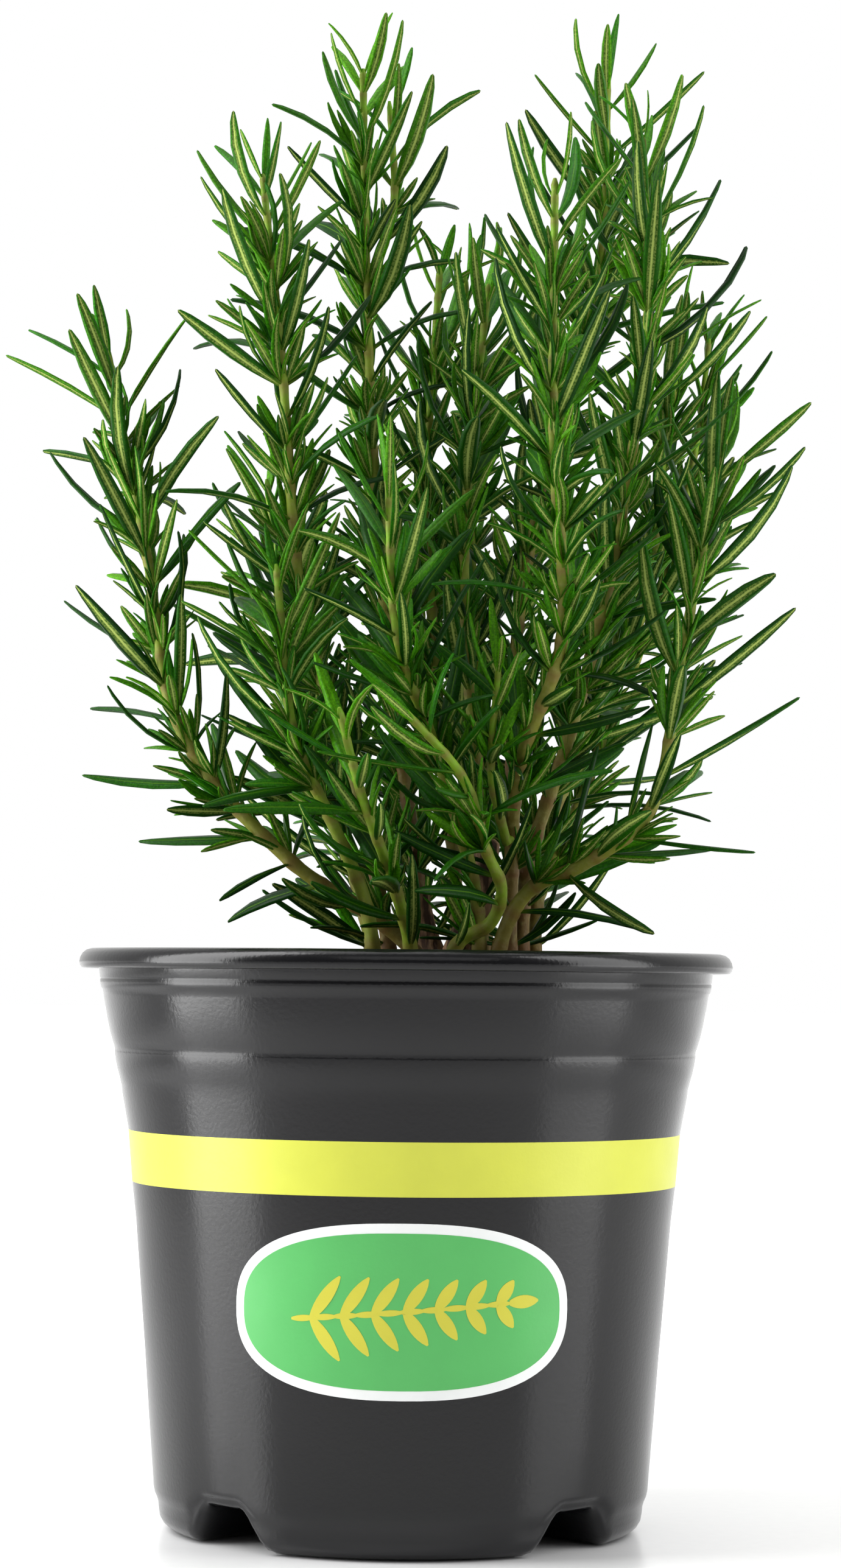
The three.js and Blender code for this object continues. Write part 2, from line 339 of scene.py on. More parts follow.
# A leaf carries along (0 foot, 1 tip), across (0 midrib, 1 margin) and under (1 on the felted underside).
def leafSkin(board):
    along, across, under = (board.value(name) for name in ("along", "across", "under"))
    young, tint, dry = (board.value(name) for name in ("young", "tint", "dry"))
    across = abs(across)
    pebble = board.noise(2600, 2)
    patch = board.noise(180, 3)
    mature = board.mix(tint, rgb(8, 42, 4), rgb(34, 92, 3))
    mottled = board.mix(patch * 0.5, mature, rgb(18, 68, 2))
    fresh = board.mix(tint, rgb(40, 116, 3), rgb(88, 156, 8))
    # The top is darkened where the pebble noise that also raises its bumps is high: painted shade for the
    # creases of the pebbled surface.
    top = board.mix(board.band(pebble, 0.35, 0.6) * 0.45, board.mix(young, mottled, fresh), rgb(6, 30, 2))
    groove = 1 - board.band(across, 0.03, 0.12)
    lined = board.mix(groove * 0.4, top, rgb(96, 142, 26))
    felt = board.mix(board.band(pebble, 0.3, 0.7), rgb(44, 76, 18), rgb(112, 132, 60))
    ribbed = board.mix(1 - board.band(across, 0.08, 0.17), felt, rgb(150, 166, 84))
    isUnder = board.band(under, 0.35, 0.6)
    body = board.mix(isUnder, lined, ribbed)
    foot = 1 - board.band(along, 0.0, 0.16)
    pale = board.mix(foot * 0.6, body, rgb(118, 150, 44))
    return {
        "Base Color": board.mix(dry, pale, rgb(120, 96, 58)),
        "Roughness": 0.34 + isUnder * 0.4 + patch * 0.1,
        "Specular IOR Level": 0.09,
        "Normal": board.bump(pebble, 0.00006, 0.7),
    }


finishes = {name: finish(name, describe) for name, describe in {
    "plastic": potPlastic,
    "bandInk": printedInk(rgb(202, 206, 66)),
    "greenInk": printedInk(rgb(80, 176, 90)),
    "yellowInk": printedInk(rgb(202, 196, 56)),
    "whiteInk": printedInk(rgb(236, 238, 237)),
    "mix": pottingMix,
    "barkChip": looseBits(rgb(58, 38, 26), rgb(112, 78, 52)),
    "perlite": looseBits(rgb(214, 212, 204), rgb(238, 236, 230)),
    "bark": oldBark,
    "stem": stemSkin,
    "leaf": leafSkin,
}.items()}
print("finishes:", len(finishes))


def meshFrom(name, points, faces):
    mesh = bpy.data.meshes.new(name)
    mesh.from_pydata([tuple(float(value) * mm for value in point) for point in points], [], faces)
    mesh.validate()
    return mesh


def keep(name, mesh, nodes):  # places a finished mesh as a piece that stands for CAD nodes
    item = placed(name, mesh)
    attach(item, "root")
    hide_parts(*nodes)
    return item


def smooth(mesh):
    mesh.polygons.foreach_set("use_smooth", [True] * len(mesh.polygons))


pot = {
    "wall": 1.0,
    "steps": 240,
    "bandLow": 62.7,
    "bandHigh": 72.1,
    "channelStart": 22.0,
    "channelHeight": 7.0,
    "channelWide": 10.0,
    "channelNarrow": 4.0,
    "liftEnds": 11,  # height where a channel no longer dents the wall
    "drainOffset": 33.0,
    "drainRadius": 3.5,
    "drillMiddle": 6.0,
    "drillDepth": 20.0,
    "outsideFrom": 49.3,  # faces of the band's height that lie farther out are outside
    "plainWall": (8, 79),  # heights between which the wall is plain
    # outside and inside, from the middle of the base to the rim, as radius and height
    "outside": [
        (0, 0), (12, 0), (20, 0), (22, 0), (24, 0), (27, 0), (31, 0), (35, 0), (38, 0), (40.4, 0),
        (41.6, 0.15), (42.6, 0.6), (43.4, 1.3), (43.9, 2.2), (44.1, 3.4), (44.2, 4.6), (44.5, 5.6),
        (44.9, 6.5), (45.1, 7.5), (45.2, 8.9), (46.1, 20), (47.0, 32), (48.0, 44), (49.0, 56),
        (49.8, 62.7), (50.6, 72.1), (51.8, 78.6), (52.0, 80.2), (52.4, 81.8), (52.8, 83.2),
        (53.1, 84.6), (53.3, 85.9), (53.32, 86.3), (53.28, 86.6), (53.4, 87.2), (53.7, 88.1),
        (54.2, 89.8), (54.7, 92), (55.1, 94.2), (55.45, 96.4), (55.65, 97.6), (55.95, 97.95),
        (56.1, 98.6), (56.15, 99.3), (56.05, 99.55), (56.2, 99.8), (56.35, 101.2), (56.6, 102.2),
        (57.1, 102.75), (57.9, 102.8), (58.4, 102.4), (58.6, 101.7), (59.0, 101.4), (59.5, 101.5),
        (59.85, 101.9), (60.0, 102.6), (59.85, 103.4), (59.4, 104.2), (58.7, 104.75), (57.8, 105.0),
    ],
    "inside": [
        (57.0, 104.9), (56.3, 104.5), (55.8, 103.9), (55.55, 103.0), (55.4, 101), (55.2, 99),
        (54.6, 97), (54.4, 96.4), (53.7, 92), (53.2, 89.8), (52.5, 87.2), (52.3, 86), (51.8, 83.2),
        (51.0, 80.2), (50.8, 78.6), (49.6, 72.1), (48.8, 62.7), (47.0, 44), (45.1, 20), (44.2, 9.2),
        (43.9, 6.6), (43.3, 5.2), (43.1, 3.4), (42.6, 2.0), (41.4, 1.2), (40.2, 1.0), (35, 1.0),
        (31, 1.0), (27, 1.0), (24, 1.0), (21, 1.0), (12, 1.0), (0, 1.0),
    ],
}


def easeStep(value, low, high):
    share = min(1.0, max(0.0, (value - low) / (high - low)))
    return share * share * (3 - 2 * share)


# How far a drainage channel lifts the base at a place, given in plan.
def channelLift(x, y):
    radius = math.hypot(x, y)
    angle = (math.atan2(y, x) - math.pi / 4) % (math.pi / 2)
    angle = min(angle, math.pi / 2 - angle)
    across = radius * math.sin(angle)
    side = 1 - easeStep(across, pot["channelNarrow"], pot["channelWide"])
    end = easeStep(radius, pot["channelStart"] - 1, pot["channelStart"] + 2)
    return pot["channelHeight"] * side * end


def dented(x, y, height, ends):  # a height of the wall where a channel lifts it
    return height + channelLift(x, y) * max(0.0, 1 - height / ends)


# A closed turned solid; each row starts with a radius and a height.
def turnedMesh(name, rows, steps, ends, heightAt):
    points, faces = [], []
    for row in rows:
        for step in range(steps):
            angle = 2 * math.pi * (step + 0.5) / steps
            x, y = row[0] * math.sin(angle), -row[0] * math.cos(angle)
            points.append((x, y, heightAt(x, y, row)))
    for low in range(0, (len(rows) - 1) * steps, steps):
        for step in range(steps):
            after, high = (step + 1) % steps, low + steps
            faces.append((low + step, low + after, high + after, high + step))
    points += [(0, 0, end) for end in ends]
    bottom, top = len(points) - 2, len(points) - 1
    last = (len(rows) - 1) * steps
    for step in range(steps):
        after = (step + 1) % steps
        faces.append((bottom, after, step))
        faces.append((top, last + step, last + after))
    return meshFrom(name, points, faces)


def potMesh():
    rows = (pot["outside"] + pot["inside"])[1:-1]
    mesh = turnedMesh("pot", rows, pot["steps"], (0, pot["wall"]),
                      lambda x, y, row: dented(x, y, row[1], pot["liftEnds"]))
    mesh.materials.append(finishes["plastic"])
    mesh.materials.append(finishes["bandInk"])
    for face in mesh.polygons:
        radius = math.hypot(face.center.x, face.center.y) / mm
        height = face.center.z / mm
        if radius > pot["outsideFrom"] and pot["bandLow"] < height < pot["bandHigh"]:
            face.material_index = 1
    smooth(mesh)
    return mesh


def drilled(mesh):  # cuts the drain holes through the roofs of the channels
    item = placed("blank", mesh)
    drill = bmesh.new()
    for turn in range(4):
        angle = math.pi / 4 + turn * math.pi / 2
        offset = pot["drainOffset"] * mm
        place = (offset * math.cos(angle), offset * math.sin(angle), pot["drillMiddle"] * mm)
        radius = pot["drainRadius"] * mm
        bmesh.ops.create_cone(drill, cap_ends=True, segments=32, radius1=radius, radius2=radius,
                              depth=pot["drillDepth"] * mm, matrix=Matrix.Translation(place))
    tool = bpy.data.meshes.new("drill")
    drill.to_mesh(tool)
    drill.free()
    cutter = placed("drill", tool)
    cut = item.modifiers.new("drains", "BOOLEAN")
    cut.object = cutter
    cut.solver = "EXACT"
    result = bakedMesh(item, "pot")
    bpy.data.objects.remove(cutter)
    return result


def bakedMesh(item, name):  # the plain mesh that an object's modifiers make; the object itself goes
    bpy.context.view_layer.update()
    shown = item.evaluated_get(bpy.context.evaluated_depsgraph_get())
    mesh = bpy.data.meshes.new_from_object(shown, preserve_all_data_layers=True,
                                           depsgraph=bpy.context.evaluated_depsgraph_get())
    mesh.name = name
    bpy.data.objects.remove(item)
    return mesh


keep("pot_shell", drilled(potMesh()), ["pot"])
print("pot made")


emblem = {
    "middle": 43.0,
    "halfWide": 29.0,
    "halfHigh": 13.5,
    "squareness": 2.5,
    "border": 1.7,
    "wallGap": 0.02,  # between the wall and the first ink
    "inkStep": 0.05,
    "inkThickness": 0.04,
    "sprigLift": 0.11,
    "sprigReach": 19.0,
    "sprigRise": 3.0,
    "sprigSteps": 10,
    "sprigOverlap": 0.4,
    "sprigStemWidth": 1.1,
    "sprigLeaves": 7,
    "sprigLeafWidth": 2.3,
    "sprigLeafLength": 8.6,
    "sprigLeafShrink": 4.2,
    "sprigLeafAim": (0.62, 0.88),
    "sprigTip": (5.5, 1.9),
}


def wallRadius(height):
    low, high = pot["plainWall"]
    radii, heights = zip(*(point for point in pot["outside"] if low < point[1] < high))
    return float(np.interp(height, heights, radii))


def onWall(across, height, lift):  # across is measured along the wall from the front
    radius = wallRadius(height)
    angle = across / radius
    return ((radius + lift) * math.sin(angle), -(radius + lift) * math.cos(angle), height)


def plaqueMesh(name, grow, lift, ink):
    rings, steps = 8, 96
    points = [onWall(0, emblem["middle"], lift)]
    faces = []
    power = 2 / emblem["squareness"]
    for ring in range(1, rings + 1):
        for step in range(steps):
            angle = 2 * math.pi * step / steps
            c, s = math.cos(angle), math.sin(angle)
            across = math.copysign(abs(c) ** power, c) * (emblem["halfWide"] + grow) * ring / rings
            up = math.copysign(abs(s) ** power, s) * (emblem["halfHigh"] + grow) * ring / rings
            points.append(onWall(across, emblem["middle"] + up, lift))
    for step in range(steps):
        after = (step + 1) % steps
        faces.append((0, 1 + step, 1 + after))
        for ring in range(rings - 1):
            low = 1 + ring * steps
            faces.append((low + step, low + steps + step, low + steps + after, low + after))
    return inkLayer(name, points, faces, ink)


def inkLayer(name, points, faces, ink):
    item = placed(name, meshFrom(name, points, faces))
    thick = item.modifiers.new("ink", "SOLIDIFY")
    thick.thickness = emblem["inkThickness"] * mm
    thick.offset = 1
    mesh = bakedMesh(item, name)
    mesh.materials.append(finishes[ink])
    smooth(mesh)
    mesh.set_sharp_from_angle(angle=math.radians(30))
    return mesh


# A flat blade from one place to another on the plaque, wide in the middle.
def blade(points, faces, start, end, width, lift):
    steps = 8
    dx, dz = end[0] - start[0], end[1] - start[1]
    length = math.hypot(dx, dz)
    base = len(points)
    for step in range(steps + 1):
        share = step / steps
        half = 0.5 * width * math.sin(math.pi * min(1, 0.08 + 0.9 * share)) ** 0.7
        x, z = start[0] + dx * share, start[1] + dz * share
        for side in (1, -1):
            points.append(onWall(x - side * half * dz / length, z + side * half * dx / length, lift))
    for step in range(steps):
        row = base + 2 * step
        faces.append((row, row + 1, row + 3, row + 2))


def sprigMesh():
    points, faces = [], []
    lift = emblem["sprigLift"]
    reach, rise = emblem["sprigReach"], emblem["sprigRise"]
    width, overlap = emblem["sprigLeafWidth"], emblem["sprigOverlap"]
    ahead, aside = emblem["sprigLeafAim"]

    def onStem(share):
        return -reach + 2 * reach * share, emblem["middle"] - rise / 2 + rise * share

    stem = [onStem(step / emblem["sprigSteps"]) for step in range(emblem["sprigSteps"] + 1)]
    for low, high in zip(stem, stem[1:]):
        start, end = (low[0] - overlap, low[1]), (high[0] + overlap, high[1])
        blade(points, faces, start, end, emblem["sprigStemWidth"], lift)
    for number in range(emblem["sprigLeaves"]):
        share = (number + 0.6) / emblem["sprigLeaves"]
        x, z = onStem(share)
        size = emblem["sprigLeafLength"] - emblem["sprigLeafShrink"] * share
        for side in (1, -1):
            blade(points, faces, (x, z), (x + ahead * size, z + side * aside * size), width, lift)
    acrossTip, upTip = emblem["sprigTip"]
    blade(points, faces, stem[-1], (reach + acrossTip, emblem["middle"] + upTip), width, lift)
    return inkLayer("emblem_sprig", points, faces, "yellowInk")


for name, grow, lift, ink in (
        ("emblem_border", emblem["border"], emblem["wallGap"], "whiteInk"),
        ("emblem_field", 0, emblem["wallGap"] + emblem["inkStep"], "greenInk")):
    keep(name, plaqueMesh(name, grow, lift, ink), ["pot"])
keep("emblem_sprig", sprigMesh(), ["pot"])
print("emblem made")


# Each shoot's route, in millimetres, as in the part's own source.
shoots = {
    "centre_tall": [(19, -4, 84), (19, -5, 115), (20, -16, 138), (27, -30, 160), (25, -38, 195),
                    (25, -34, 242)],
    "centre_low": [(12, -9, 84), (13, -10, 112), (5, -21, 141), (-2, -34, 160), (-4, -39, 188)],
    "left_tall": [(0, 3, 84), (-4, 3, 110), (-9, -3, 134), (-19, -10, 165), (-24, -12, 214),
                  (-28, -7, 248)],
    "left_outer": [(6, -6, 84), (4, -7, 101), (-3, -8, 109), (-21, -13, 121), (-41, -15, 144),
                   (-48, -10, 176), (-57, 2, 217)],
    "right_tall": [(22, 3, 84), (22, 2, 119), (29, -3, 143), (37, -9, 176), (43, -11, 222),
                   (42, -7, 256)],
    "right_outer": [(16, -10, 84), (17, -10, 106), (22, -13, 116), (32, -19, 121), (43, -24, 130),
                    (49, -21, 159), (58, -6, 202)],
    "front_curl": [(8, -15, 84), (9, -16, 106), (15, -18, 110), (17, -22, 116), (14, -27, 123),
                   (10, -34, 135), (-1, -42, 147)],
    "front_short": [(1, -16, 84), (1, -18, 104), (-2, -26, 116), (-8, -36, 132), (-12, -42, 147)],
    "left_low": [(-5, -15, 84), (-7, -16, 112), (-14, -20, 129), (-20, -26, 142), (-24, -23, 174)],
    "inner_right": [(18, -12, 125), (15, -19, 137), (16, -27, 156)],
    "top_left": [(4, 12, 84), (2, 15, 118), (-3, 20, 153), (-7, 22, 194), (-9, 18, 232),
                 (-10, 10, 272)],
    "top_left_twin": [(-7, 19, 236), (-4, 20, 248), (-5, 15, 267)],
    "top_right": [(20, 12, 84), (20, 14, 118), (20, 23, 160), (24, 28, 189), (36, 29, 238),
                  (37, 23, 275)],
    "right_back": [(24, 15, 84), (25, 17, 118), (33, 23, 146), (45, 28, 172), (49, 32, 204),
                   (53, 32, 229)],
    "right_side": [(43, 24, 160), (51, 36, 184), (56, 40, 207), (58, 38, 226)],
    "middle": [(13, 4, 84), (14, 4, 124), (11, 2, 157), (10, 0, 182), (14, 4, 230)],
    "back_centre": [(10, 20, 84), (9, 22, 120), (5, 32, 160), (3, 36, 196), (5, 30, 238)],
    "back_high": [(15, 24, 84), (15, 28, 120), (12, 43, 180), (10, 39, 238)],
    "back_left": [(-4, 10, 84), (-8, 12, 114), (-21, 22, 150), (-28, 28, 196)],
    "back_left_low": [(-4, 18, 84), (-8, 24, 112), (-20, 38, 146), (-28, 45, 184)],
    "back_right_low": [(20, 20, 84), (24, 28, 112), (38, 42, 148), (42, 48, 186)],
    "back_low": [(4, 24, 84), (2, 33, 112), (4, 48, 146), (2, 54, 176)],
}

habit = {
    "stemRadii": (1.5, 0.6),
    "sideRadii": (0.9, 0.5),
    "bareRooted": 22,
    "bareSide": 5,
    "rootHeight": 84,  # a shoot whose route starts no higher than this is rooted
    "beads": 12,
    "beadMargin": 0.5,
    "stemBeadStep": 1.5,
    "mouth": (30, 105, 95.5),  # radius, and the height below which nothing grows outside and inside it
    "clearance": 2.5,
    "attempts": 6,
    "tipMargin": 0.8,
    "youngLength": 26,
    "seed": 7919,
    "width": (0.4, 0.12),  # of a leaf: the least, and the share of its length that is added
    # how much a leaf differs from the rule
    "pairTurn": 0.3,
    "turn": 0.5,
    "twist": 1.1,
    "spreadVaries": (0.8, 0.4),
    "lengthVaries": (0.82, 0.3),
    "bends": (-0.6, -0.25, 0.1, 0.4, 0.8),
    # against the distance below the tip
    "spacing": ((0, 2.4), (10, 4.2), (30, 5.8), (120, 7)),
    "length": ((0, 10), (6, 18), (16, 25), (45, 27), (100, 24), (160, 18)),
    "spread": ((0, 0.25), (6, 0.65), (15, 0.85), (70, 0.95), (140, 1.15)),
}
trunk = {"route": [(7, 4, 84), (8, 3, 100), (13, -2, 114), (15, -3, 126)], "radii": (3.6, 2.2)}
stub = {"route": [(8, 3, 99), (4, 5, 108), (2, 6, 117)], "radii": (2.2, 1.8)}


class Path:  # a smooth line through a route's points
    stepsPerStretch = 24

    def __init__(self, route, radii):
        ends = np.array(route, float)
        ends = np.vstack([2 * ends[0] - ends[1], ends, 2 * ends[-1] - ends[-2]])
        rows = []
        for stretch in range(len(route) - 1):
            p0, p1, p2, p3 = ends[stretch:stretch + 4]
            d0, d1, d2 = (math.sqrt(np.linalg.norm(b - a)) for a, b in ((p0, p1), (p1, p2), (p2, p3)))
            leave = d1 * ((p1 - p0) / d0 - (p2 - p0) / (d0 + d1) + (p2 - p1) / d1)
            arrive = d1 * ((p2 - p1) / d1 - (p3 - p1) / (d1 + d2) + (p3 - p2) / d2)
            for step in range(self.stepsPerStretch):
                t = step / self.stepsPerStretch
                rows.append(p1 + leave * t + (3 * (p2 - p1) - 2 * leave - arrive) * t * t
                            + (2 * (p1 - p2) + leave + arrive) * t ** 3)
        rows.append(ends[-2])
        self.points = np.array(rows)
        spans = np.linalg.norm(np.diff(self.points, axis=0), axis=1)
        self.distances = np.concatenate([[0], np.cumsum(spans)])
        self.length = self.distances[-1]
        self.radii = radii

    def at(self, distance):
        step = int(np.clip(np.searchsorted(self.distances, distance), 1, len(self.points) - 1))
        before, after = self.points[step - 1], self.points[step]
        share = (distance - self.distances[step - 1]) / (self.distances[step] - self.distances[step - 1])
        along = (after - before) / np.linalg.norm(after - before)
        return before + share * (after - before), along

    def radius(self, distance):
        return self.radii[0] + (self.radii[1] - self.radii[0]) * distance / self.length


def acrossOf(along):
    right = np.cross((0, 1, 0), along)
    right /= np.linalg.norm(right)
    return right, np.cross(along, right)


class Draw:  # numbers from 0 to 1, the same every run
    def __init__(self, seed):
        self.state = seed

    def next(self):
        self.state = self.state * 16807 % 2147483647
        return self.state / 2147483647

    def around(self, width):  # a number about zero
        return width * (self.next() - 0.5)

    def above(self, least, more):
        return least + more * self.next()


def graded(table, distance):
    return float(np.interp(distance, [row[0] for row in table], [row[1] for row in table]))


class Leaf:
    def __init__(self, base, ahead, up, length, bend):
        self.base, self.ahead, self.up = base, ahead, up
        self.length, self.bend = length, bend
        self.width = habit["width"][0] + habit["width"][1] * length
        self.young = self.dry = self.twist = 0.0
        self.tint = 0.5

    def midline(self, share):
        turn = self.bend * share
        ahead = self.length * math.sin(turn) / self.bend
        up = self.length * (1 - math.cos(turn)) / self.bend
        return self.base + ahead * self.ahead + up * self.up

    def halfWidth(self, share):
        return 0.5 * self.width * min(1, 0.35 + 1.6 * share) * min(1, 2.4 * (1 - share) + 0.1)

    def beads(self):
        shares = [bead / habit["beads"] for bead in range(1, habit["beads"] + 1)]
        places = [self.midline(share) for share in shares]
        return np.array(places), np.array([self.halfWidth(share) for share in shares])


class Room:  # the places already taken, as beads
    def __init__(self):
        self.places = np.zeros((0, 3))
        self.radii = np.zeros(0)
        self.owners = np.zeros(0, int)

    def add(self, places, radii, owners):
        self.places = np.vstack([self.places, places])
        self.radii = np.concatenate([self.radii, radii])
        self.owners = np.concatenate([self.owners, owners])

    def clear(self, places, radii, owner, margin):
        others = self.owners != owner
        gaps = ((places[:, None, :] - self.places[others][None]) ** 2).sum(2)
        need = (radii[:, None] + self.radii[others][None] + margin) ** 2
        return bool((gaps > need).all())


def clearOfPot(places):
    radius, outside, inside = habit["mouth"]
    limit = np.where(np.hypot(places[:, 0], places[:, 1]) > radius, outside, inside)
    return bool((places[:, 2] > habit["clearance"] + limit).all())


def aimedLeaf(path, distance, azimuth, draw):
    base, along = path.at(distance)
    right, back = acrossOf(along)
    belowTip = path.length - distance
    turn = azimuth + draw.around(habit["turn"])
    spread = graded(habit["spread"], belowTip) * draw.above(*habit["spreadVaries"])
    outward = right * math.cos(turn) + back * math.sin(turn)
    ahead = along * math.cos(spread) + outward * math.sin(spread)
    up = along * math.sin(spread) - outward * math.cos(spread)
    length = graded(habit["length"], belowTip) * draw.above(*habit["lengthVaries"])
    bend = habit["bends"][int(draw.next() * len(habit["bends"]))]
    twist = draw.around(habit["twist"])
    up = up * math.cos(twist) + np.cross(ahead, up) * math.sin(twist)
    return Leaf(base, ahead, up, length, bend)


def grownLeaves(path, bare, seed, room, owner):
    draw = Draw(seed)
    leaves, knots = [], []
    distance = bare
    azimuth = math.pi * draw.next()
    while distance < path.length - habit["tipMargin"]:
        knots.append(distance)
        for side in (0, math.pi):
            for attempt in range(habit["attempts"]):
                leaf = aimedLeaf(path, distance, azimuth + side, draw)
                places, radii = leaf.beads()
                if clearOfPot(places) and room.clear(places, radii, owner, habit["beadMargin"]):
                    leaf.young = max(0.0, 1 - (path.length - distance) / habit["youngLength"])
                    leaf.distance = distance
                    owners = np.full(len(places), -1)
                    owners[:2] = owner
                    room.add(places, radii, owners)
                    leaves.append(leaf)
                    break
        azimuth += math.pi / 2 + draw.around(habit["pairTurn"])
        distance += graded(habit["spacing"], path.length - distance)
    return leaves, knots


def isRooted(name):
    return shoots[name][0][2] <= habit["rootHeight"]


def growPlant():
    paths = {}
    for name, route in shoots.items():
        paths[name] = Path(route, habit["stemRadii"] if isRooted(name) else habit["sideRadii"])
    wood = [Path(part["route"], part["radii"]) for part in (trunk, stub)]
    room = Room()
    for owner, path in enumerate(wood + list(paths.values())):
        marks = np.arange(0, path.length, habit["stemBeadStep"])
        places = np.array([path.at(mark)[0] for mark in marks])
        room.add(places, np.array([path.radius(mark) for mark in marks]), np.full(len(marks), owner))
    grown = {}
    for order, (name, path) in enumerate(paths.items()):
        bare = habit["bareRooted"] if isRooted(name) else habit["bareSide"]
        leaves, knots = grownLeaves(path, bare, habit["seed"] * (order + 1), room, order + 2)
        grown[name] = {"path": path, "leaves": leaves, "knots": knots, "owner": order + 2}
    return grown, room, wood


grown, room, wood = growPlant()
print("plant: shoots", len(grown), "leaves", sum(len(part["leaves"]) for part in grown.values()))


# Every leaf is bent from one straight leaf.
leafShape = {
    "fullness": 1.0,
    # share of the length, share of the half width
    "rings": ((0.0, 0.26), (0.1, 0.5), (0.26, 0.86), (0.46, 1.0), (0.7, 0.88), (0.9, 0.55), (0.985, 0.24)),
    # across from the midrib, depth, whether it is on the underside; the other half mirrors it
    "section": ((0.0, 0.15, 0.0), (0.24, 0.3, 0.0), (1.0, 0.02, 0.0), (0.6, -0.3, 0.0), (0.32, -0.08, 1.0),
                (0.0, -0.2, 1.0)),
}


def leafTemplate():
    section = leafShape["section"]
    ring = [(side * across, depth, under) for side, part in ((1, section), (-1, section[-2:0:-1]))
            for across, depth, under in part]
    points, faces, marks = [], [], []
    for along, wide in leafShape["rings"]:
        for across, depth, under in ring:
            points.append((along, across * wide, depth * wide ** 0.5))
            marks.append((along, across, under))
    points.append((1.0, 0.0, 0.0))
    marks.append((1.0, 0.0, 0.4))
    sides, rings = len(ring), len(leafShape["rings"])
    for side in range(sides):
        after = (side + 1) % sides
        for row in range(rings - 1):
            low, high = row * sides, (row + 1) * sides
            faces.append((low + side, high + side, high + after, low + after))
        last = (rings - 1) * sides
        faces.append((last + side, len(points) - 1, last + after))
    faces.append(tuple(range(sides)))
    mesh = bpy.data.meshes.new("straightLeaf")
    mesh.from_pydata(points, [], faces)
    columns = dict(zip(("along", "across", "under"), zip(*marks)))
    stamp(mesh, {**columns, "reach": [point[1] for point in points], "depth": [point[2] for point in points]})
    return placed("straightLeaf", mesh)


def stamp(mesh, columns):  # keeps numbers or vectors on a mesh's points
    for name, values in columns.items():
        values = np.array(values, float)
        kind, field = ("FLOAT_VECTOR", "vector") if values.ndim == 2 else ("FLOAT", "value")
        layer = mesh.attributes.new(name, kind, "POINT")
        layer.data.foreach_set(field, values.ravel())


def geometryTree(name, sockets):
    tree = bpy.data.node_groups.new(name, "GeometryNodeTree")
    tree.interface.new_socket("Geometry", in_out="INPUT", socket_type="NodeSocketGeometry")
    tree.interface.new_socket("Geometry", in_out="OUTPUT", socket_type="NodeSocketGeometry")
    for label, kind in sockets.items():
        tree.interface.new_socket(label, in_out="INPUT", socket_type="NodeSocket" + kind)
    board = Board(tree)
    node = tree.nodes.new("NodeGroupInput")
    given = {socket.name: Wire(board, socket) for socket in node.outputs if socket.name}
    return board, given


def close(board, shape, material):
    solid = board.add("GeometryNodeRealizeInstances", None, {"Geometry": shape})
    soft = board.add("GeometryNodeSetShadeSmooth", None, {"Geometry": solid})
    painted = board.add("GeometryNodeSetMaterial", None, {"Geometry": soft, "Material": material})
    board.add("NodeGroupOutput", None, {0: painted})
    return board.tree


def grownMesh(name, mesh, tree, values):  # runs a geometry tree on a mesh and gives the plain result
    item = placed(name, mesh)
    step = item.modifiers.new(name, "NODES")
    step.node_group = tree
    for socket in tree.interface.items_tree:
        if socket.name in values:
            step[socket.identifier] = values[socket.name]
    return bakedMesh(item, name)


def named(board, name, kind="FLOAT"):
    return board.add("GeometryNodeInputNamedAttribute", {"data_type": kind}, {"Name": name})


# Puts one straight leaf at every point, then bends it about the point's own directions.
def leafTree():
    board, given = geometryTree("bentLeaves", {"Leaf": "Object", "Material": "Material"})
    info = board.add("GeometryNodeObjectInfo", None, {"Object": given["Leaf"]}, "Geometry")
    copies = board.add("GeometryNodeInstanceOnPoints", None, {"Points": given["Geometry"], "Instance": info})
    solid = board.add("GeometryNodeRealizeInstances", None, {"Geometry": copies})
    foot, ahead, up = (named(board, name, "FLOAT_VECTOR") for name in ("foot", "ahead", "up"))
    length, width, bend, twist, along, reach, depth = (
        named(board, name) for name in ("length", "width", "bend", "twist", "along", "reach", "depth"))
    beside = board.add("ShaderNodeVectorMath", {"operation": "CROSS_PRODUCT"}, {0: up, 1: ahead})
    turn = bend * along
    forward = length * turn.sine() / bend
    rise = length * (1 - turn.cosine()) / bend
    above = up * turn.cosine() - ahead * turn.sine()
    roll = twist * along
    sideways = beside * roll.cosine() + above * roll.sine()
    outward = above * roll.cosine() - beside * roll.sine()
    spine = foot + ahead * forward + up * rise
    place = spine + sideways * (reach * width) + outward * (depth * width)
    moved = board.add("GeometryNodeSetPosition", None, {"Geometry": solid, "Position": place})
    return close(board, moved, given["Material"])


# Sweeps a round section along a line of points that carry their own radius.
def stemTree():
    board, given = geometryTree("sweptStem", {"Sides": "Int", "Material": "Material"})
    line = board.add("GeometryNodeMeshToCurve", None, {"Mesh": given["Geometry"]})
    ring = board.add("GeometryNodeCurvePrimitiveCircle", None, {"Resolution": given["Sides"], "Radius": 1.0})
    sweep = {"Curve": line, "Profile Curve": ring, "Scale": named(board, "thick"), "Fill Caps": True}
    return close(board, board.add("GeometryNodeCurveToMesh", None, sweep), given["Material"])


straightLeaf = leafTemplate()
bentLeaves = leafTree()
sweptStem = stemTree()


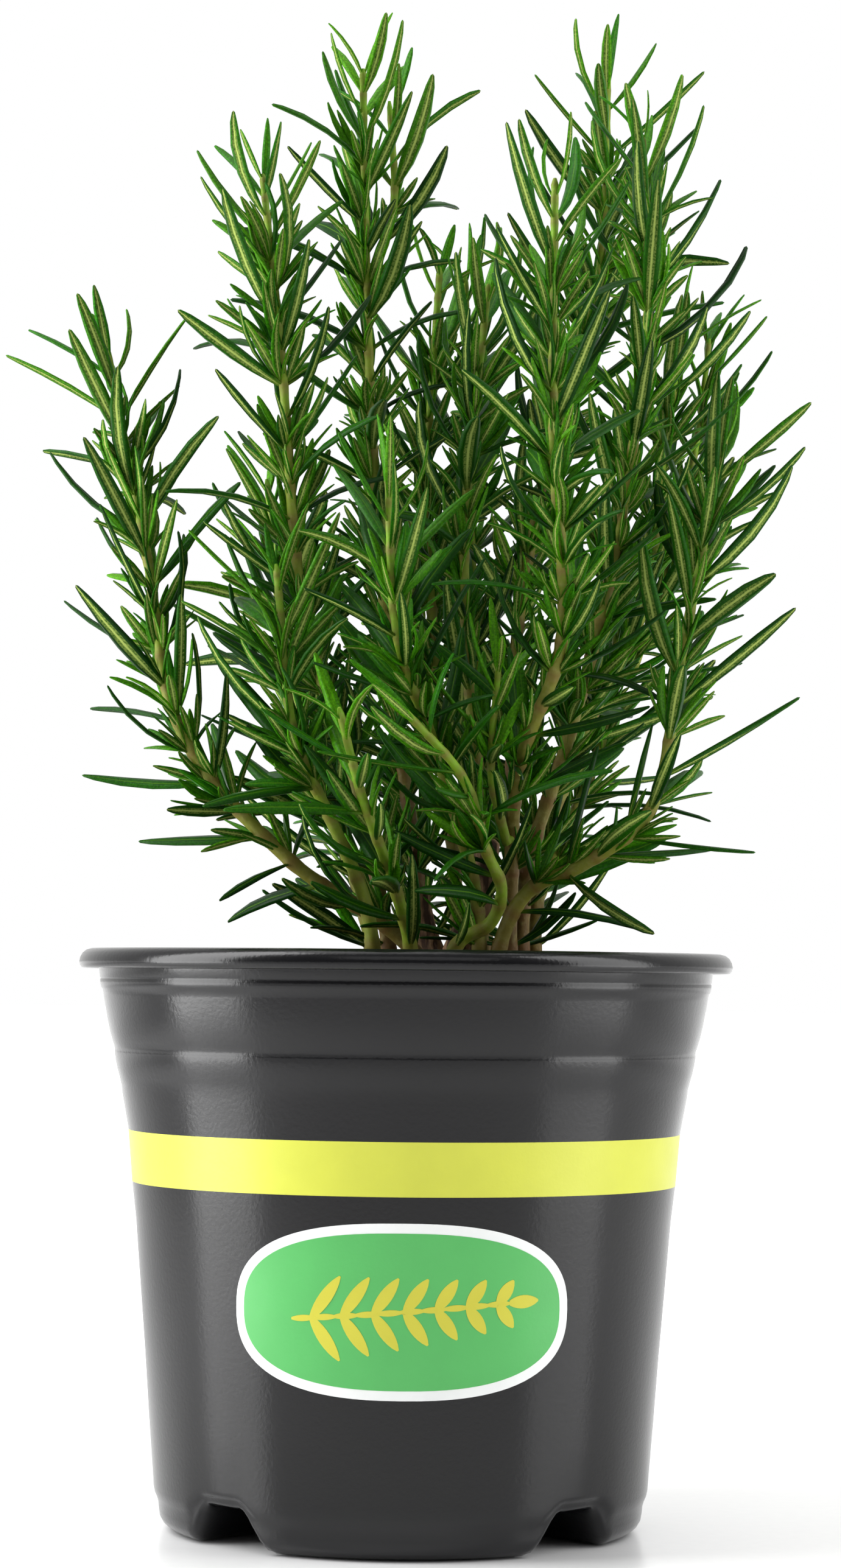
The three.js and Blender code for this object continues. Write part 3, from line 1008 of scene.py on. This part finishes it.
def leavesMesh(name, leaves):
    mesh = bpy.data.meshes.new(name)
    mesh.from_pydata([tuple(leaf.base * mm) for leaf in leaves], [], [])
    stamp(mesh, {
        "foot": [leaf.base * mm for leaf in leaves],
        "ahead": [leaf.ahead for leaf in leaves],
        "up": [leaf.up for leaf in leaves],
        "length": [leaf.length * mm for leaf in leaves],
        "width": [leaf.width / 2 * leafShape["fullness"] * mm for leaf in leaves],
        "bend": [leaf.bend for leaf in leaves],
        "twist": [leaf.twist for leaf in leaves],
        "young": [leaf.young for leaf in leaves],
        "tint": [leaf.tint for leaf in leaves],
        "dry": [leaf.dry for leaf in leaves],
    })
    return grownMesh(name, mesh, bentLeaves, {"Leaf": straightLeaf, "Material": finishes["leaf"]})


stemShape = {
    "knotReach": 1.1,
    "knotSwelling": 0.16,
    "tipShare": 0.5,
    "oldBelowTip": 150,
}


def stemMesh(name, path, knots, start=None, sides=10, material="stem", step=1.2):
    marks = list(np.linspace(0, path.length, int(path.length / step) + 2))
    points = [path.at(mark)[0] for mark in marks]
    knots = np.array(knots if len(knots) else [-99.0])
    nearKnot = [float(np.exp(-(np.abs(knots - mark).min() / stemShape["knotReach"]) ** 2)) for mark in marks]
    swelling = stemShape["knotSwelling"]
    thick = [path.radius(mark) * (1 + swelling * near) for mark, near in zip(marks, nearKnot)]
    thick[-1] *= stemShape["tipShare"]
    if start is not None:
        points, thick, nearKnot = [start] + points, [thick[0]] + thick, [0.0] + nearKnot
        marks = [0.0] + marks
    mesh = meshFrom(name, points, [])
    mesh.edges.add(len(points) - 1)
    mesh.edges.foreach_set("vertices", [k + end for k in range(len(points) - 1) for end in (0, 1)])
    stamp(mesh, {
        "thick": [value * mm for value in thick],
        "knot": nearKnot,
        "age": [min(1.0, (path.length - mark) / stemShape["oldBelowTip"]) for mark in marks],
    })
    return grownMesh(name, mesh, sweptStem, {"Sides": sides, "Material": finishes[material]})


def plantShoots():
    for name, part in grown.items():
        node = "shoot_" + name
        start = None
        if not isRooted(name):  # a side shoot starts inside the stem that bears it
            foot = np.array(shoots[name][0], float)
            parents = [other["path"].points for other in grown.values() if other is not part]
            every = np.vstack(parents)
            start = every[((every - foot) ** 2).sum(1).argmin()]
        keep("stem_" + name, stemMesh("stem_" + name, part["path"], part["knots"], start), [node])
        keep("leaves_" + name, leavesMesh("leaves_" + name, part["leaves"]), [node])


tuft = {
    "share": ((108, 0.2), (150, 0.95)),  # of the leaves that have a tuft in their axil, against the height
    "lowest": 18,  # millimetres below the tip where tufts begin
    "pairs": 4,
    "length": (5.0, 18.0),
    "margin": -0.6,
    "freeBeads": 3,  # beads near the foot that may meet others
    "footOut": 0.7,
    "footUp": 0.8,
    "tilt": 0.5,  # of the whole tuft away from the stem
    "turn": 0.5,
    "lean": (0.45, 0.25),
    "vigour": (0.35, 0.65),
    "lengthVaries": (0.5, 0.5),
    "young": (0.35, 0.6),
    "seed": 90187,
}


# Small young leaves that sit between a stem and the foot of a leaf.
def addTufts():
    draw = Draw(tuft["seed"])
    for part in grown.values():
        path = part["path"]
        extra = []
        for leaf in part["leaves"]:
            place, along = path.at(path.distances[((path.points - leaf.base) ** 2).sum(1).argmin()])
            outward = leaf.ahead - along * leaf.ahead.dot(along)
            share = graded(tuft["share"], leaf.base[2])
            if draw.next() > share or path.length - leaf.distance < tuft["lowest"]:
                continue
            outward /= np.linalg.norm(outward)
            beside = np.cross(along, outward)
            vigour = draw.above(*tuft["vigour"])
            for number in range(2 * tuft["pairs"]):
                turn = draw.above(number, tuft["turn"]) * math.pi / tuft["pairs"]
                lean = draw.above(*tuft["lean"])
                away = outward * math.cos(turn) + beside * math.sin(turn)
                axis = along * math.cos(tuft["tilt"]) + outward * math.sin(tuft["tilt"])
                ahead = axis * math.cos(lean) + away * math.sin(lean)
                ahead /= np.linalg.norm(ahead)
                up = np.cross(np.cross(ahead, axis), ahead)
                up /= np.linalg.norm(up)
                low, high = tuft["length"]
                length = low + (high - low) * vigour * draw.above(*tuft["lengthVaries"])
                reach = path.radius(leaf.distance)
                foot = leaf.base + outward * reach * tuft["footOut"] + along * tuft["footUp"]
                young = Leaf(foot, ahead, up, length, habit["bends"][int(draw.next() * len(habit["bends"]))])
                young.young = draw.above(*tuft["young"])
                places, radii = young.beads()
                checked = slice(tuft["freeBeads"], None)
                isClear = room.clear(places[checked], radii[checked], part["owner"], tuft["margin"])
                if clearOfPot(places) and isClear:
                    room.add(places, radii, np.full(len(places), part["owner"]))
                    extra.append(young)
        part["leaves"] += extra


leafVaries = {"twist": 1.6, "width": (0.72, 0.4), "seed": 4409}


def varyLeaves():
    draw = Draw(leafVaries["seed"])
    for part in grown.values():
        for leaf in part["leaves"]:
            leaf.tint = draw.next()
            leaf.twist = draw.around(leafVaries["twist"])
            leaf.width *= draw.above(*leafVaries["width"])


addTufts()
varyLeaves()
plantShoots()
print("shoots made, leaves with tufts:", sum(len(part["leaves"]) for part in grown.values()))


mix = {
    "rings": 40,
    "steps": 160,
    "edge": 94.0,
    "crown": 95.5,
    "gap": 0.3,
    "edgeOut": 0.9,
    "liftEnds": 12,
    "lumps": 1.1,
    "lumpScales": ((0.11, 1.0), (0.31, 0.55), (0.8, 0.35)),  # scale and share
    "topSlope": 0.4,
    "topBelowEdge": 2,
    "topRadius": 50.5,
    "bits": {  # count, stretch, smallest and largest radius, seed and finish
        "mix_chips": (420, (1.7, 0.8, 0.5), (0.7, 2.0), 3, "barkChip"),
        "mix_perlite": (130, (1.0, 0.9, 0.8), (0.5, 1.3), 11, "perlite"),
    },
}


def lump(x, y):
    place = Vector((x, y, 0))
    return sum(share * noise.noise(place * scale) for scale, share in mix["lumpScales"])


def mixMesh():
    gap, low, high = mix["gap"], mix["edge"], mix["crown"]
    rows = [(radius - gap, height + gap, False) for radius, height in pot["inside"][::-1]
            if 0 < radius and height < low - 1]
    edge = rows[-1][0] + mix["edgeOut"]
    for ring in range(mix["rings"] + 1):
        radius = edge * (1 - ring / (mix["rings"] + 1))
        rows.append((radius, low + (high - low) * (1 - (radius / edge) ** 2), True))

    def heightAt(x, y, row):
        height, rough = row[1:]
        return height + mix["lumps"] * lump(x, y) if rough else dented(x, y, height, mix["liftEnds"])

    mesh = turnedMesh("potting_mix", rows, mix["steps"], (pot["wall"] + gap, high), heightAt)
    mesh.materials.append(finishes["mix"])
    smooth(mesh)
    return mesh


# Scatters small rough solids over the upward faces of a surface.
def scatterTree():
    board, given = geometryTree("scatteredBits", {
        "Bit": "Object", "Count": "Float", "Smallest": "Float", "Largest": "Float", "Seed": "Int",
        "Material": "Material"})
    info = board.add("GeometryNodeObjectInfo", None, {"Object": given["Bit"]}, "Geometry")
    spots = board.add("GeometryNodeDistributePointsOnFaces", None, {
        "Mesh": given["Geometry"], "Density": given["Count"], "Seed": given["Seed"]})
    turn = board.add("FunctionNodeRandomValue", {"data_type": "FLOAT_VECTOR"}, {
        0: (0, 0, 0), 1: (0.7, 0.7, 6.28), "Seed": given["Seed"]})
    size = board.add("FunctionNodeRandomValue", None, {
        2: given["Smallest"], 3: given["Largest"], "Seed": given["Seed"] + 7}, 1)
    spun = board.add("FunctionNodeEulerToRotation", None, {0: turn})
    copies = board.add("GeometryNodeInstanceOnPoints", None, {
        "Points": spots, "Instance": info, "Rotation": spun, "Scale": size})
    return close(board, copies, given["Material"])


def roughBit(name, stretch):
    ball = bmesh.new()
    bmesh.ops.create_icosphere(ball, subdivisions=1, radius=1)
    for number, point in enumerate(ball.verts):
        point.co *= 0.75 + 0.4 * ((number * 37 % 11) / 11)
        point.co.x *= stretch[0]
        point.co.y *= stretch[1]
        point.co.z *= stretch[2]
    mesh = bpy.data.meshes.new(name)
    ball.to_mesh(mesh)
    ball.free()
    return placed(name, mesh)


def topOnly(mesh):
    part = bmesh.new()
    part.from_mesh(mesh)
    hidden = [face for face in part.faces if face.normal.z < mix["topSlope"]
              or face.calc_center_median().z < (mix["edge"] - mix["topBelowEdge"]) * mm
              or face.calc_center_median().xy.length > mix["topRadius"] * mm]
    bmesh.ops.delete(part, geom=hidden, context="FACES")
    area = sum(face.calc_area() for face in part.faces)
    top = bpy.data.meshes.new("mixTop")
    part.to_mesh(top)
    part.free()
    return top, area


def makeMix():
    mesh = mixMesh()
    tree = scatterTree()
    for name, (count, stretch, sizes, seed, bitFinish) in mix["bits"].items():
        top, area = topOnly(mesh)
        bit = roughBit(name + "_bit", stretch)
        result = grownMesh(name, top, tree, {
            "Bit": bit, "Count": count / area, "Smallest": sizes[0] * mm, "Largest": sizes[1] * mm,
            "Seed": seed, "Material": finishes[bitFinish]})
        bpy.data.objects.remove(bit)
        keep(name, result, ["potting_mix"])
    keep("potting_mix_body", mesh, ["potting_mix"])


makeMix()
print("potting mix made")


crown = {"knots": (18, 31), "sides": 20, "step": 0.8}


def makeCrown():
    for name, path in zip(("crown_trunk", "crown_stub"), wood):
        mesh = stemMesh(name, path, crown["knots"], sides=crown["sides"], material="bark", step=crown["step"])
        keep(name, mesh, ["woody_crown"])


makeCrown()
bpy.data.objects.remove(straightLeaf)
print("woody crown made")
